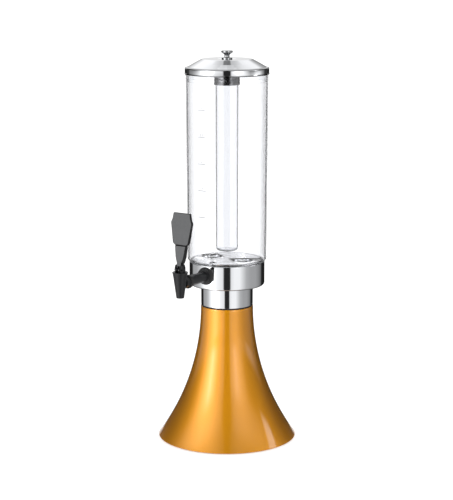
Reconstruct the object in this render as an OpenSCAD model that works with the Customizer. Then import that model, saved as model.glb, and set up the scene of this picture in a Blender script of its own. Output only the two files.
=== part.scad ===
// Drink tower: a clear tank on a trumpet stand, with a lever tap, a lid and a hanging ice tube.
// Millimetres. +Z is up, the origin is the middle of the surface it stands on, the tap faces -Y.

/* [Stand] */
// Height of the stand's shell, up to its mouth
stand_h = 211.5; // [185:0.5:250]
// Radius of the shell's lower edge
foot_r = 108.6; // [95:0.1:130]
// Radius of the shell's mouth
mouth_r = 41; // [37:0.5:46]
// Thickness of the shell
shell_wall = 1.6; // [1.2:0.1:2.4]
// Width of the lip turned in at the mouth
mouth_lip = 5; // [4:0.5:7]
// Width of the edge turned in at the foot
foot_edge = 6; // [4:0.5:9]
// Gap between the shell's edge and the table
edge_gap = 1; // [0.6:0.1:2]

/* [Underside] */
// Height of the rubber foot ring
pad_h = 8; // [7.5:0.5:11]
// Foot ring's edge, in from the edge of the foot
pad_inset = 14.6; // [13:0.1:20]
// Width of the foot ring
pad_w = 9; // [6:0.5:14]
// Thickness of the bottom plate
plate_t = 2; // [1.5:0.1:3]
// Radius of the cast weight
weight_r = 66; // [50:1:70]
// Height of the cast weight
weight_h = 14; // [8:1:22]
// Radius of the tie rod
rod_r = 4; // [3:0.5:5]

/* [Neck] */
// Height of the neck ring that shows
neck_h = 32.6; // [22:0.1:40]
// How far the neck stands back from the mouth
neck_step = 0.3; // [0:0.1:1]
// Thickness of the neck ring
neck_wall = 1.6; // [1.2:0.1:2.4]
// Thickness of the gasket under the neck
neck_gasket_t = 1.2; // [0.8:0.1:2]

/* [Collar] */
// Radius of the collar round the foot of the tank
collar_r = 58.9; // [56:0.1:66]
// Height of the collar
collar_h = 37.7; // [36:0.1:44]
// Thickness of the collar
collar_wall = 1.6; // [1.2:0.1:2]
// Radius of the collar's lower corner
collar_corner = 3.6; // [2.5:0.1:5]
// Radius of the collar's upper edge
collar_lip = 1.2; // [0.8:0.1:1.5]
// Width of the flange turned in at the collar's top
collar_flange = 4.5; // [4:0.1:6]

/* [Deck] */
// Thickness of the deck plate under the tank
deck_t = 1.2; // [0.8:0.1:1.6]
// Radius of a pressed dish in the deck
dish_r = 19; // [16:0.5:20.5]
// Depth of a dish
dish_depth = 3; // [2.6:0.1:4]
// Distance of a dish from the tower's axis
dish_x = 28.6; // [27:0.1:30]
// Radius of a post under the deck
post_r = 6; // [5:0.5:8]

/* [Tank] */
// Height of the tank
tank_h = 298.5; // [240:0.1:360]
// How far the tank stands proud of the collar
tank_over = 2.7; // [1.6:0.1:4]
// How much the tank widens towards its rim
tank_draft = 2; // [0.5:0.1:3]
// Thickness of the tank's wall and floor
tank_wall = 2.6; // [2.2:0.1:3.2]
// Radius of the tank's lower corner
tank_corner = 5; // [4:0.1:6]
// Thickness of the gasket that the tank sits on
seat_gasket_t = 0.5; // [0.4:0.1:1.4]

/* [Drain] */
// Distance of the drain from the tower's axis
drain_y = 39; // [38:0.1:40]
// Radius of the drain's bore
drain_r = 4.2; // [3.5:0.1:4.4]
// Outer radius of the drain's spigot
spigot_r = 6.5; // [6:0.1:7]
// Outer radius of the elbow under the drain
elbow_r = 10.8; // [10:0.1:11.2]

/* [Scale] */
// Number of marks on the tank
mark_count = 5; // [3:1:6]
// Distance between marks
mark_step = 41; // [35:0.1:45]
// Height of the lowest mark above the tank's floor
mark_first = 72.6; // [60:0.1:80]
// Length of a mark round the tank
mark_len = 15; // [10:0.5:20]
// Thickness of the printed marks
mark_t = 0.15; // [0.1:0.05:0.3]

/* [Lid] */
// Height of the lid's skirt
skirt_h = 10.4; // [8:0.1:14]
// Rise of the lid above its skirt
lid_rise = 13.2; // [9:0.1:18]
// Radius of the flat on top of the lid
lid_flat_r = 38; // [30:0.5:44]
// Thickness of the lid
lid_t = 0.8; // [0.7:0.1:1.2]
// Thickness of the seal between lid and tank
seal_t = 1.6; // [1.2:0.1:3]
// Length of the seal's skirt inside the tank
seal_skirt_h = 19; // [12:0.5:24]

/* [Knob] */
// Radius of the knob
knob_r = 8.8; // [7.5:0.1:11]
// Height of the knob
knob_h = 13.8; // [11:0.1:17]
// Radius of the knob's waist
knob_neck_r = 4.1; // [3.8:0.1:5]
// Radius of the knob's flange
knob_flange_r = 8.2; // [6:0.1:10]
// Thickness of the knob's flange
knob_flange_t = 2.7; // [1.8:0.1:3]

/* [Ice tube] */
// Radius of the ice tube
ice_r = 18; // [15:0.5:20]
// Thickness of the ice tube
ice_wall = 2; // [1.5:0.1:2.6]
// Space between the ice tube and the tank's floor
ice_clear = 13.1; // [12.9:0.1:30]
// Radius of the ice tube's lower corner
ice_corner = 6; // [5:0.5:8]
// Thickness of the ice tube's cap
cap_wall = 1.8; // [1.4:0.1:2.4]
// How far the cap reaches below the lid's skirt
cap_drop = 16.3; // [15:0.1:22]
// Length of tube held in the cap
cap_grip = 12; // [9:0.5:13]

/* [Tap] */
// Distance from the tower's axis to the spout's axis
reach = 126; // [118:1:145]
// Height of the shank above the collar's foot
tap_rise = 22.3; // [20:0.1:23]
// Height of the spout's body
spout_h = 39.9; // [38:0.1:50]
// Drop from the shank's axis to the spout's mouth
spout_drop = 22; // [20:0.1:28]
// Radius of the spout's body at its rim
spout_top_r = 11.9; // [11.4:0.1:13.5]
// Radius of the spout's body below its flared rim
spout_waist_r = 10.2; // [9.8:0.1:11]
// Radius of the spout at its mouth
spout_tip_r = 5.9; // [5.6:0.1:7.4]
// Radius of the spout's outlet
outlet_r = 4.3; // [3.8:0.1:4.4]
// Radius of the shank
shank_r = 8.2; // [7.6:0.1:8.4]
// Radius of the bore through the shank
shank_bore_r = 4.5; // [4:0.1:5.2]
// Radius of the union nut
union_r = 10.9; // [10.7:0.1:12]
// Length of the union nut
union_len = 5; // [4.6:0.1:6]
// Radius of the saddle washer
saddle_r = 13.1; // [12.5:0.1:15]
// Radius of the bonnet
bonnet_r = 8.2; // [8:0.1:9]
// Height of the bonnet above the spout's rim
bonnet_h = 11.1; // [10.8:0.1:13]

/* [Lever] */
// Height of the grip
grip_h = 49.2; // [42:0.1:60]
// Width of the grip at its shoulders
grip_w = 38.6; // [34:0.1:44]
// Width of the grip's top
grip_top_w = 30.4; // [26:0.1:32]
// Width of the grip above its chamfered foot
grip_foot_w = 28.3; // [24:0.1:32]
// Thickness of the grip at its top
grip_top_t = 4.4; // [4.2:0.1:6]
// Thickness of the grip at its foot
grip_foot_t = 6.5; // [6:0.1:9]
// Length of the arm between bonnet and grip
arm_h = 28.3; // [24:0.1:34]
// Width of the arm at its top
arm_top_w = 20.5; // [18:0.1:21]
// Depth of the arm at its top
arm_top_t = 4.6; // [4.4:0.1:6]
// Depth of the arm at its foot
arm_foot_t = 11.3; // [9:0.1:12]
// Lean of the closed lever towards the tank, in degrees
lever_lean = 3.5; // [3:0.5:6]

/* [Hidden] */
$fn = 96;
// Facets of the large arc along the stand's flank
flank_fn = 256;
// Steps of a small corner arc
corner_steps = 6;
// Overrun of every cut
over = 1;
// Clearance of pieces that are put together and stay put
fit = 0.2;
// Radial clearance of a pin that turns
run = 0.08;
// Clearance of pieces that move past each other
slip = 0.35;

// Stack of heights
plate_z = pad_h;
plate_top = plate_z + plate_t;
neck_z = stand_h + neck_gasket_t;
collar_z = neck_z + neck_h;
collar_top = collar_z + collar_h;
tank_z = collar_top + seat_gasket_t;
floor_z = tank_z + tank_wall;
rim_z = tank_z + tank_h;
skirt_top = rim_z + seal_t + lid_t;
skirt_z = skirt_top - skirt_h;
flat_z = skirt_top + lid_rise;

// The flank is one arc: upright at the mouth, and through the lower edge
flank_drop = stand_h - edge_gap;
flank_spread = foot_r - mouth_r;
flank_rho = (flank_spread * flank_spread + flank_drop * flank_drop) / (2 * flank_spread);
flank_x = mouth_r + flank_rho;
function flank_in(z) = flank_x - sqrt(pow(flank_rho + shell_wall, 2) - pow(stand_h - z, 2));

// Radii that follow one another up the tower
mouth_bore_r = mouth_r - mouth_lip;
neck_r = mouth_r - neck_step;
neck_in_r = neck_r - neck_wall;
collar_in_r = collar_r - collar_wall;
flange_in_r = collar_r - collar_flange;
tank_low_r = collar_r + tank_over;
tank_low_z = tank_z + tank_corner;
tank_fillet = 3;
lip_h = 6;
lip_flare = 0.2;
lip_z = rim_z - skirt_h - lip_h;
tank_top_r = tank_low_r + tank_draft;
tank_lip_r = tank_top_r + lip_flare;
function tank_out(z) = z > lip_z ? tank_lip_r
    : tank_low_r + tank_draft * (z - tank_low_z) / (lip_z - tank_low_z);
lid_gap = 0.3;
lid_in_r = tank_lip_r + lid_gap;
lid_r = lid_in_r + lid_t;

// Foot ring
pad_r = foot_r - pad_inset;
pad_bevel = 1.5;

// Tie rod and its nuts
hole_r = rod_r + fit;
nut_t = rod_r * 1.25;
nut_r = rod_r * 1.85;
washer_t = 1.2;
washer_r = rod_r * 2.4;
rod_tail = 1;
rod_bottom = plate_z - washer_t - nut_t;
rod_top = collar_z + collar_wall + washer_t + nut_t + rod_tail;

// Neck and collar
spigot_h = 4;
neck_bevel = 1.2;
rebate_h = 3;

// Deck, and the wells of the tank's floor that lie in its dishes
deck_z = collar_top - deck_t;
dish_slope = 2.2;
dish_z = collar_top - dish_depth;
well_z = dish_z + tank_wall;
well_r = dish_r - fit - tank_wall;
well_ring_r = well_r * 0.66;
well_ring_w = 1.5;
well_ring_d = 0.8;
screw_r = 2.5;
screw_head_r = 5;
screw_head_h = 2.4;
screw_len = 16;
well_washer_r = 7.5;
well_washer_t = 1.2;
post_top = dish_z - deck_t;

// Shank and what it passes through
tap_z = collar_z + tap_rise;
shank_hole_r = shank_r + fit;
shoulder_r = saddle_r * 0.9;
shoulder_t = 3;
saddle_t = 2.4;
saddle_face = collar_r + saddle_t;
inner_saddle_r = 12.5;
inner_saddle_t = 3;
nut_face = collar_in_r - inner_saddle_t;
shank_nut_t = 4;
shank_nut_r = 13.4;

// Drain elbow
socket_face = nut_face - shank_nut_t - fit;
socket_wall = 2.3;
shank_end = drain_y + spigot_r + 2 * fit;
spigot_len = 9;
elbow_top = deck_z - slip;
drain_seal_w = 1.9;
drain_seal_h = 2.4;
seal_z = elbow_top - drain_seal_h;

// Spout
spout_z = tap_z - spout_drop;
spout_rim = spout_z + spout_h;
rim_flare_h = 8.6;
rim_band_h = 1.2;
waist_z = spout_rim - rim_flare_h;
spout_wall = 1.7;
function spout_out(z) = spout_tip_r + (spout_waist_r - spout_tip_r) * (z - spout_z) / (waist_z - spout_z);
seat_h = 1.6;
seat_z = tap_z - shank_bore_r - 3 * seat_h;
seat_r = spout_out(seat_z) - spout_wall;
plug_r = spout_top_r - 3.2;
plug_h = 7;
plug_z = spout_rim - plug_h;
stub_r = shank_r + 2 * fit;
socket_r = stub_r + 3 * fit;
socket_t = 2.5;
stub_len = 18.5;
shank_flange_t = 1.5;
union_lip_t = 1.3;
union_grooves = 18;
union_groove_r = 0.8;

// Lever and valve
crank = 5;
pivot_h = 4.2;
pivot_z = spout_rim + pivot_h;
pivot_y = -reach - crank;
pin_r = 1.4;
crank_pin_r = 1.2;
root_half_w = 3.8;
root_half_t = 4;
fork_half_w = 1.9;
fork_top = 5.5;
pivot_barrel_r = 2.9;
crank_barrel_r = 3.5;
tab_half_t = 1.5;
tab_wall = 1;
tab_top = 2.8;
tab_drop = 5.2;
eye_z = pivot_z - crank * sin(lever_lean);
eye_travel = 0.75;
eye_front = crank_pin_r + eye_travel + slip;
eye_back = crank_pin_r + slip;
stem_r = 2.5;
ring_seal_r = 0.9;
slot_floor = pivot_z - tab_drop - slip;
slot_back = 5.2;
bonnet_neck_r = bonnet_r - 1;
bonnet_wall_h = bonnet_h * 0.6;
arm_offset = 1.6;
arm_back = crank + arm_offset + arm_foot_t / 2;
arm_start = bonnet_h - pivot_h + slip + arm_back * sin(lever_lean);
arm_top = arm_start + arm_h;
// Half width and height along the arm, as shares of its top width and its length
arm_shares = [[0.12, 0], [0.19, 0.045], [0.26, 0.16], [0.36, 0.38], [0.5, 1]];
tang_w = 11;
tang_half_t = 1.2;
tang_h = 26;
grip_shoulder_h = 15;
grip_notch_h = 9.4;
grip_notch_w = grip_top_w + 3.4;
grip_chamfer_h = 3.9;
grip_chamfer_w = grip_foot_w - 2 * grip_chamfer_h;
cup_r = seat_r - slip - fit / 2;
cup_h = 7;
cup_tip = 1.2;
coil_r = 4;
wire_r = 0.45;
coil_turns = 6;

// Lid, knob and ice tube
bead_r = 0.4;
bead_h = 2;
shoulder_in = 4;
shoulder_rise = 0.4;
cone_foot = 9;
cone_foot_rise = 3.4;
lid_dish = 1.4;
knob_screw_r = 2.5;
knob_screw_head_r = 4.6;
knob_screw_head_h = 3;
knob_screw_depth = 9;
seal_gap = 0.4;
seal_wall = 1.8;
seal_out_r = tank_top_r - tank_wall - seal_gap;
knob_seat = flat_z - lid_dish;
knob_face_r = knob_r * 0.8;
// Radius and height along the knob's waist and its head, as shares of the waist, the knob and its height
knob_waist_shares = [[0.99, 0.25], [0.94, 0.42], [1.01, 0.55]];
knob_head_shares = [[1, 0.87], [1, 0.96]];
cap_boss_r = 11;
cap_web = 4;
cap_recess = 5;
cap_z = skirt_z - cap_drop;
cap_r = ice_r + slip + cap_wall;
ice_rim_z = cap_z + cap_grip;
ice_seal_t = 2;
cap_roof = ice_rim_z + ice_seal_t;
cap_deck = cap_roof + cap_recess + cap_web;
cap_top = knob_seat - lid_t;
ice_z = floor_z + ice_clear;

// Points of an arc about (x, y), from angle a0 to a1
function arc(x, y, r, a0, a1) =
    [for (i = [0:corner_steps]) let (a = a0 + (a1 - a0) * i / corner_steps)
        [x + r * cos(a), y + r * sin(a)]];

// A cylinder along +Y from y, at height z
module along_y(y, z, r, len) {
    translate([0, y, z]) rotate([-90, 0, 0]) cylinder(r = r, h = len);
}

// A cylinder along X, centred on x = 0
module along_x(y, z, r, len) {
    translate([0, y, z]) rotate([0, 90, 0]) cylinder(r = r, h = len, center = true);
}

// A ring with a square section
module ring(z, r_in, r_out, h) {
    translate([0, 0, z]) difference() {
        cylinder(r = r_out, h = h);
        translate([0, 0, -over]) cylinder(r = r_in, h = h + 2 * over);
    }
}

// A hexagon nut with its bore
module hex_nut(z, r, bore, h) {
    translate([0, 0, z]) difference() {
        cylinder(r = r, h = h, $fn = 6);
        translate([0, 0, -over]) cylinder(r = bore, h = h + 2 * over);
    }
}

// Stand

module stand_shell() color("#d08a2a") rotate_extrude() union() {
    intersection() {
        translate([flank_x, stand_h]) difference() {
            circle(r = flank_rho + shell_wall, $fn = flank_fn);
            circle(r = flank_rho, $fn = flank_fn);
        }
        translate([0, edge_gap]) square([foot_r, flank_drop]);
    }
    translate([mouth_bore_r, stand_h - shell_wall]) square([mouth_lip - shell_wall / 2, shell_wall]);
    edge_out = flank_in(plate_top + shell_wall) + shell_wall / 2;
    translate([edge_out - foot_edge, plate_top]) square([foot_edge, shell_wall]);
}

module bottom_plate() color("#4a4d50") ring(plate_z, hole_r, flank_in(plate_top) - fit, plate_t);

module foot_ring() color("#1c1c1e") rotate_extrude() polygon([
    [pad_r - pad_w, 0], [pad_r - pad_bevel, 0], [pad_r, pad_bevel], [pad_r, pad_h], [pad_r - pad_w, pad_h]]);

module cast_weight() color("#3a3a3c") ring(plate_top, hole_r, weight_r, weight_h);

module tie_rod() color("#b8babd") translate([0, 0, rod_bottom]) cylinder(r = rod_r, h = rod_top - rod_bottom);

module rod_nuts() color("#b8babd") {
    hex_nut(rod_bottom, nut_r, rod_r + fit / 2, nut_t);
    hex_nut(plate_top + weight_h + washer_t, nut_r, rod_r + fit / 2, nut_t);
    hex_nut(collar_z + collar_wall + washer_t, nut_r, rod_r + fit / 2, nut_t);
}

module rod_washers() color("#b8babd") {
    ring(plate_z - washer_t, hole_r, washer_r, washer_t);
    ring(plate_top + weight_h, hole_r, washer_r, washer_t);
    ring(collar_z + collar_wall, hole_r, washer_r, washer_t);
}

// Neck and collar

module neck_gasket() color("#161618") ring(stand_h, mouth_bore_r + fit, mouth_r - neck_bevel, neck_gasket_t);

module neck_ring() color("#d9dbde") rotate_extrude() polygon([
    [mouth_bore_r - fit, stand_h - spigot_h], [mouth_bore_r - fit, neck_z],
    [neck_r - neck_bevel, neck_z], [neck_r, neck_z + neck_bevel], [neck_r, collar_z],
    [neck_in_r, collar_z], [neck_in_r, neck_z + neck_wall],
    [mouth_bore_r - fit - neck_wall, neck_z + neck_wall],
    [mouth_bore_r - fit - neck_wall, stand_h - spigot_h]]);

module collar() color("#d9dbde") difference() {
    rotate_extrude() polygon(concat(
        [[hole_r, collar_z], [neck_in_r - fit - collar_wall, collar_z],
            [neck_in_r - fit - collar_wall, collar_z - rebate_h], [neck_in_r - fit, collar_z - rebate_h],
            [neck_in_r - fit, collar_z]],
        arc(collar_r - collar_corner, collar_z + collar_corner, collar_corner, -90, 0),
        arc(collar_r - collar_lip, collar_top - collar_lip, collar_lip, 0, 90),
        [[flange_in_r, collar_top], [flange_in_r, collar_top - collar_wall],
            [collar_in_r, collar_top - collar_wall]],
        arc(collar_r - collar_corner, collar_z + collar_corner, collar_corner - collar_wall, 0, -90),
        [[hole_r, collar_z + collar_wall]]));
    along_y(-collar_r - over, tap_z, shank_hole_r, 2 * over + collar_r - nut_face);
}

// Deck under the tank

module deck_plate() color("#dfe1e4") {
    difference() {
        translate([0, 0, deck_z]) cylinder(r = flange_in_r - fit, h = deck_t);
        at_dishes() translate([0, 0, deck_z - over]) cylinder(r = dish_r + deck_t / 2, h = deck_t + 2 * over);
        translate([0, -drain_y, deck_z - over]) cylinder(r = spigot_r + fit, h = deck_t + 2 * over);
    }
    at_dishes() translate([0, 0, collar_top]) rotate_extrude() polygon([
        [screw_r + fit, -dish_depth], [dish_r - dish_slope, -dish_depth], [dish_r, 0], [dish_r + deck_t, 0],
        [dish_r + deck_t, -deck_t], [dish_r - dish_slope + deck_t, -dish_depth - deck_t],
        [screw_r + fit, -dish_depth - deck_t]]);
}

module at_dishes() {
    for (s = [-1, 1]) translate([s * dish_x, 0, 0]) children();
}

module deck_posts() color("#8f9194") at_dishes() difference() {
    translate([0, 0, collar_z + collar_wall]) cylinder(r = post_r, h = post_top - collar_z - collar_wall);
    translate([0, 0, well_z + well_washer_t - screw_len - over])
        cylinder(r = screw_r + fit / 2, h = screw_len);
}

module well_washers() color("#2a2a2c") at_dishes() ring(well_z, screw_r + fit, well_washer_r, well_washer_t);

module tank_screws() color("#c9cbce") at_dishes() translate([0, 0, well_z + well_washer_t])
    rotate_extrude() polygon([
        [0, -screw_len], [screw_r / 2, -screw_len], [screw_r, screw_r / 2 - screw_len], [screw_r, 0],
        [screw_head_r, 0], [screw_head_r, screw_head_h / 2], [screw_head_r * 0.6, screw_head_h],
        [0, screw_head_h]]);

module seat_gasket() color("#e8eaec") ring(collar_top, flange_in_r, tank_low_r - tank_corner, seat_gasket_t);

// Tank, its floor sunk into two wells, with a spigot for the drain

module tank() color([0.86, 0.9, 0.93, 0.3]) difference() {
    union() {
        rotate_extrude() polygon(concat(
            [[0, tank_z]],
            arc(tank_low_r - tank_corner, tank_z + tank_corner, tank_corner, -90, 0),
            [[tank_top_r, lip_z], [tank_lip_r, lip_z + lip_h], [tank_lip_r, rim_z],
                [tank_lip_r - tank_wall, rim_z], [tank_lip_r - tank_wall, lip_z + lip_h],
                [tank_top_r - tank_wall, lip_z]],
            arc(tank_low_r - tank_wall - tank_fillet, floor_z + tank_fillet, tank_fillet, 0, -90),
            [[0, floor_z]]));
        at_dishes() rotate_extrude() polygon([
            [0, dish_z], [dish_r - dish_slope - fit, dish_z], [dish_r - fit, collar_top],
            [dish_r - fit, tank_z + fit], [0, tank_z + fit]]);
        translate([0, -drain_y, tank_z - spigot_len]) cylinder(r = spigot_r, h = spigot_len + fit);
    }
    at_dishes() rotate_extrude() polygon([
        [0, well_z], [well_ring_r, well_z], [well_ring_r, well_z - well_ring_d],
        [well_ring_r + well_ring_w, well_z - well_ring_d], [well_ring_r + well_ring_w, well_z],
        [well_r - dish_slope, well_z], [well_r, floor_z], [well_r, floor_z + over], [0, floor_z + over]]);
    at_dishes() translate([0, 0, dish_z - over]) cylinder(r = screw_r + fit, h = well_z - dish_z + 2 * over);
    translate([0, -drain_y, tank_z - spigot_len - over])
        cylinder(r = drain_r, h = spigot_len + tank_wall + 2 * over);
}

// Angle from the tap round to the marks
mark_turn = -4;
mark_line = 0.9;
module volume_scale() color("#9aa0a6") for (i = [0:mark_count - 1]) {
    z = floor_z + mark_first + i * mark_step;
    r = tank_out(z + mark_line);
    sweep = mark_len / r * 180 / PI;
    rotate([0, 0, 270 + mark_turn - sweep / 2]) rotate_extrude(angle = sweep)
        translate([r, z]) square([mark_t, mark_line]);
}

// Drain elbow, between the tank's spigot and the shank

module drain_elbow() color("#1d1e20") difference() {
    union() {
        translate([0, -drain_y, tap_z - elbow_r]) cylinder(r = elbow_r, h = elbow_top - tap_z + elbow_r);
        along_y(-socket_face, tap_z, shank_r + socket_wall, socket_face - drain_y);
    }
    translate([0, -drain_y, tap_z - drain_r]) cylinder(r = drain_r, h = elbow_top - tap_z + drain_r + over);
    translate([0, -drain_y, tank_z - spigot_len - fit])
        cylinder(r = spigot_r + fit / 2, h = spigot_len + over);
    translate([0, -drain_y, seal_z]) cylinder(r = spigot_r + drain_seal_w + fit, h = drain_seal_h + over);
    along_y(-socket_face - over, tap_z, shank_r + fit / 2, socket_face - shank_end + over);
    along_y(-shank_end - over, tap_z, shank_bore_r, shank_end - drain_y + over);
}

module drain_seal() color("#3a3a3c") translate([0, -drain_y, 0])
    ring(seal_z, spigot_r + fit / 4, spigot_r + drain_seal_w, drain_seal_h - fit);

// Tap, on the shank's axis

shank_front = -reach + stub_len;
module shank() color("#26272a") difference() {
    union() {
        along_y(shank_front, tap_z, shank_r, -shank_end - shank_front);
        along_y(shank_front, tap_z, socket_r, shank_flange_t);
        along_y(-saddle_face - shoulder_t, tap_z, shoulder_r, shoulder_t);
    }
    along_y(shank_front - over, tap_z, shank_bore_r, -shank_end - shank_front + 2 * over);
}

module saddle_washer() color("#18181a") difference() {
    along_y(-saddle_face, tap_z, saddle_r, saddle_face - collar_in_r + collar_wall / 2);
    translate([0, 0, tap_z - saddle_r - over]) cylinder(r = collar_r + fit / 4, h = 2 * (saddle_r + over));
    along_y(-saddle_face - over, tap_z, shank_hole_r, saddle_face);
}

module inner_saddle() color("#18181a") difference() {
    intersection() {
        along_y(-collar_r, tap_z, inner_saddle_r, collar_r - nut_face);
        translate([0, 0, tap_z - saddle_r]) cylinder(r = collar_in_r - fit / 4, h = 2 * saddle_r);
    }
    along_y(-collar_r - over, tap_z, shank_hole_r, collar_r - nut_face + 2 * over);
}

module shank_nut() color("#18181a") translate([0, -nut_face, tap_z]) rotate([-90, 0, 0]) rotate([0, 0, 30])
    hex_nut(0, shank_nut_r, shank_r + fit / 2, shank_nut_t);

module spout_body() color("#26272a") difference() {
    union() {
        translate([0, -reach, 0]) rotate_extrude() polygon([
            [0, spout_z], [spout_tip_r, spout_z], [spout_waist_r, waist_z],
            [(spout_waist_r + 2 * spout_top_r) / 3, spout_rim - 2 * rim_band_h],
            [spout_top_r, spout_rim - rim_band_h], [spout_top_r, spout_rim], [0, spout_rim]]);
        along_y(-reach, tap_z, stub_r, stub_len);
        along_y(shank_front - socket_t, tap_z, socket_r, socket_t);
    }
    translate([0, -reach, 0]) rotate_extrude() polygon([
        [0, spout_z - over], [outlet_r, spout_z - over], [outlet_r, seat_z - seat_h],
        [seat_r - seat_h / 2, seat_z],
        [seat_r, seat_z], [spout_out(plug_z) - spout_wall, plug_z], [plug_r, plug_z],
        [plug_r, spout_rim + over], [0, spout_rim + over]]);
    along_y(-reach, tap_z, shank_bore_r, stub_len + over);
}

union_back = shank_front + shank_flange_t + union_lip_t;
module union_nut() color("#1d1e20") difference() {
    along_y(union_back - union_len, tap_z, union_r, union_len);
    along_y(union_back - union_len - over, tap_z, socket_r + fit, union_len - union_lip_t + over);
    along_y(union_back - union_len - over, tap_z, shank_r + fit, union_len + 2 * over);
    for (i = [0:union_grooves - 1]) translate([0, 0, tap_z]) rotate([0, i * 360 / union_grooves, 0])
        translate([union_r + fit, union_back - union_len - over, 0]) rotate([-90, 0, 0])
            cylinder(r = union_groove_r, h = union_len - union_lip_t + over);
}

// Bonnet, valve and lever

module bonnet() color("#1d1e20") difference() {
    translate([0, -reach, 0]) rotate_extrude() polygon([
        [0, plug_z], [plug_r - fit, plug_z], [plug_r - fit, spout_rim], [bonnet_r, spout_rim],
        [bonnet_r, spout_rim + bonnet_wall_h], [bonnet_neck_r, spout_rim + bonnet_h],
        [0, spout_rim + bonnet_h]]);
    translate([0, -reach, plug_z - over]) cylinder(r = stem_r + run, h = plug_h + bonnet_h);
    translate([-root_half_w - slip, -reach - bonnet_r - over, slot_floor])
        cube([2 * (root_half_w + slip), bonnet_r + over + slot_back, bonnet_h + plug_h]);
    along_x(pivot_y, pivot_z, pin_r + fit / 10, 2 * (bonnet_r + over));
    translate([0, -reach, 0]) rotate_extrude()
        translate([stem_r + ring_seal_r, plug_z + 2 * ring_seal_r])
            square(2 * ring_seal_r + fit, center = true);
}

module bonnet_seal() color("#3a3a3c") translate([0, -reach, plug_z + 2 * ring_seal_r])
    rotate_extrude() translate([stem_r + ring_seal_r + run, 0]) circle(r = ring_seal_r, $fn = 32);

pin_half = sqrt(pow(bonnet_r, 2) - pow(crank, 2)) - slip;
module lever_pin() color("#c9cbce") along_x(pivot_y, pivot_z, pin_r, 2 * pin_half);

module crank_pin() color("#c9cbce") at_lever() along_x(crank, 0, crank_pin_r, 2 * root_half_w);

module valve_stem() color("#b8babd") translate([0, -reach, 0]) difference() {
    union() {
        translate([0, 0, seat_z + cup_h - cup_tip])
            cylinder(r = stem_r, h = eye_z - tab_drop - seat_z - cup_h + cup_tip);
        translate([-tab_half_t, -eye_front - tab_wall, eye_z - tab_drop])
            cube([2 * tab_half_t, eye_front + eye_back + 2 * tab_wall, tab_drop + tab_top]);
    }
    translate([-tab_half_t - over, -eye_front, eye_z - crank_pin_r - slip])
        cube([2 * (tab_half_t + over), eye_front + eye_back, 2 * (crank_pin_r + slip)]);
}

module seat_cup() color("#d8dadc") translate([0, -reach, seat_z]) rotate_extrude() polygon([
    [0, fit], [cup_r - cup_tip, fit], [cup_r, cup_tip + fit], [cup_r, cup_h],
    [stem_r + fit / 4, cup_h], [stem_r + fit / 4, cup_h - cup_tip - fit / 4],
    [0, cup_h - cup_tip - fit / 4]]);

// A spring wound as one tube, by rings of points along the coil
spring_z = seat_z + cup_h + wire_r + run;
spring_len = plug_z - run - wire_r - spring_z;
rings_per_turn = 8;
sides = 6;
spring_rings = coil_turns * rings_per_turn;
spring_lead = atan(spring_len / (2 * PI * coil_r * coil_turns));
function coil_ring(i) = let (a = 360 * i / rings_per_turn)
    [for (k = [0:sides - 1]) let (b = 360 * k / sides, u = wire_r * cos(b), v = wire_r * sin(b))
        [(coil_r + u) * cos(a) + v * sin(spring_lead) * sin(a),
         (coil_r + u) * sin(a) - v * sin(spring_lead) * cos(a),
         spring_z + spring_len * i / spring_rings + v * cos(spring_lead)]];
function next_side(k) = (k + 1) % sides;
module valve_spring() color("#b8babd") translate([0, -reach, 0]) polyhedron(
    points = [for (i = [0:spring_rings]) each coil_ring(i)],
    faces = concat(
        [[for (k = [0:sides - 1]) k]],
        [for (i = [0:spring_rings - 1], k = [0:sides - 1]) let (a = i * sides)
            [a + k, a + k + sides, a + next_side(k)]],
        [for (i = [0:spring_rings - 1], k = [0:sides - 1]) let (a = i * sides)
            [a + next_side(k), a + k + sides, a + next_side(k) + sides]],
        [[for (k = [sides - 1:-1:0]) spring_rings * sides + k]]));

// The lever's own frame has its origin on the pivot, and the closed lever leans back
module at_lever() translate([0, pivot_y, pivot_z]) rotate([-lever_lean, 0, 0]) children();

// A solid with one outline seen from the front and another seen from the side
module both_outlines(front, side, w, t) intersection() {
    translate([0, t / 2, 0]) rotate([90, 0, 0]) linear_extrude(height = t) polygon(front);
    rotate([90, 0, 90]) linear_extrude(height = w, center = true) polygon(side);
}
function mirrored(p) = concat(p, [for (i = [len(p) - 1:-1:0]) [-p[i][0], p[i][1]]]);

arm_outline = [for (p = arm_shares) [p[0] * arm_top_w, arm_start + p[1] * arm_h]];
arm_side = [[-arm_foot_t / 2, arm_start], [arm_foot_t / 2, arm_start],
    [arm_top_t / 2, arm_top], [-arm_top_t / 2, arm_top]];
module lever_arm() color("#26272a") at_lever() difference() {
    union() {
        along_x(0, 0, pivot_barrel_r, 2 * root_half_w);
        along_x(crank, 0, crank_barrel_r, 2 * root_half_w);
        slab(root_half_w, crank / 2, crank / 2, -pivot_barrel_r, 2 * pivot_barrel_r);
        slab(root_half_w, root_half_t, crank, 0, arm_start + root_half_t);
        translate([0, crank + arm_offset, 0]) {
            both_outlines(mirrored(arm_outline), arm_side, 2 * arm_top_w, 2 * arm_foot_t);
            slab(tang_w / 2, tang_half_t, 0, arm_top - fit, tang_h + fit);
        }
    }
    translate([-fork_half_w, -crank, -crank]) cube([2 * fork_half_w, 3 * crank, crank + fork_top]);
    along_x(0, 0, pin_r + run, 2 * (root_half_w + over));
    along_x(crank, 0, crank_pin_r + fit / 10, 2 * (root_half_w + over));
}

module slab(half_w, half_t, y, z, h) translate([-half_w, y - half_t, z]) cube([2 * half_w, 2 * half_t, h]);

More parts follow.
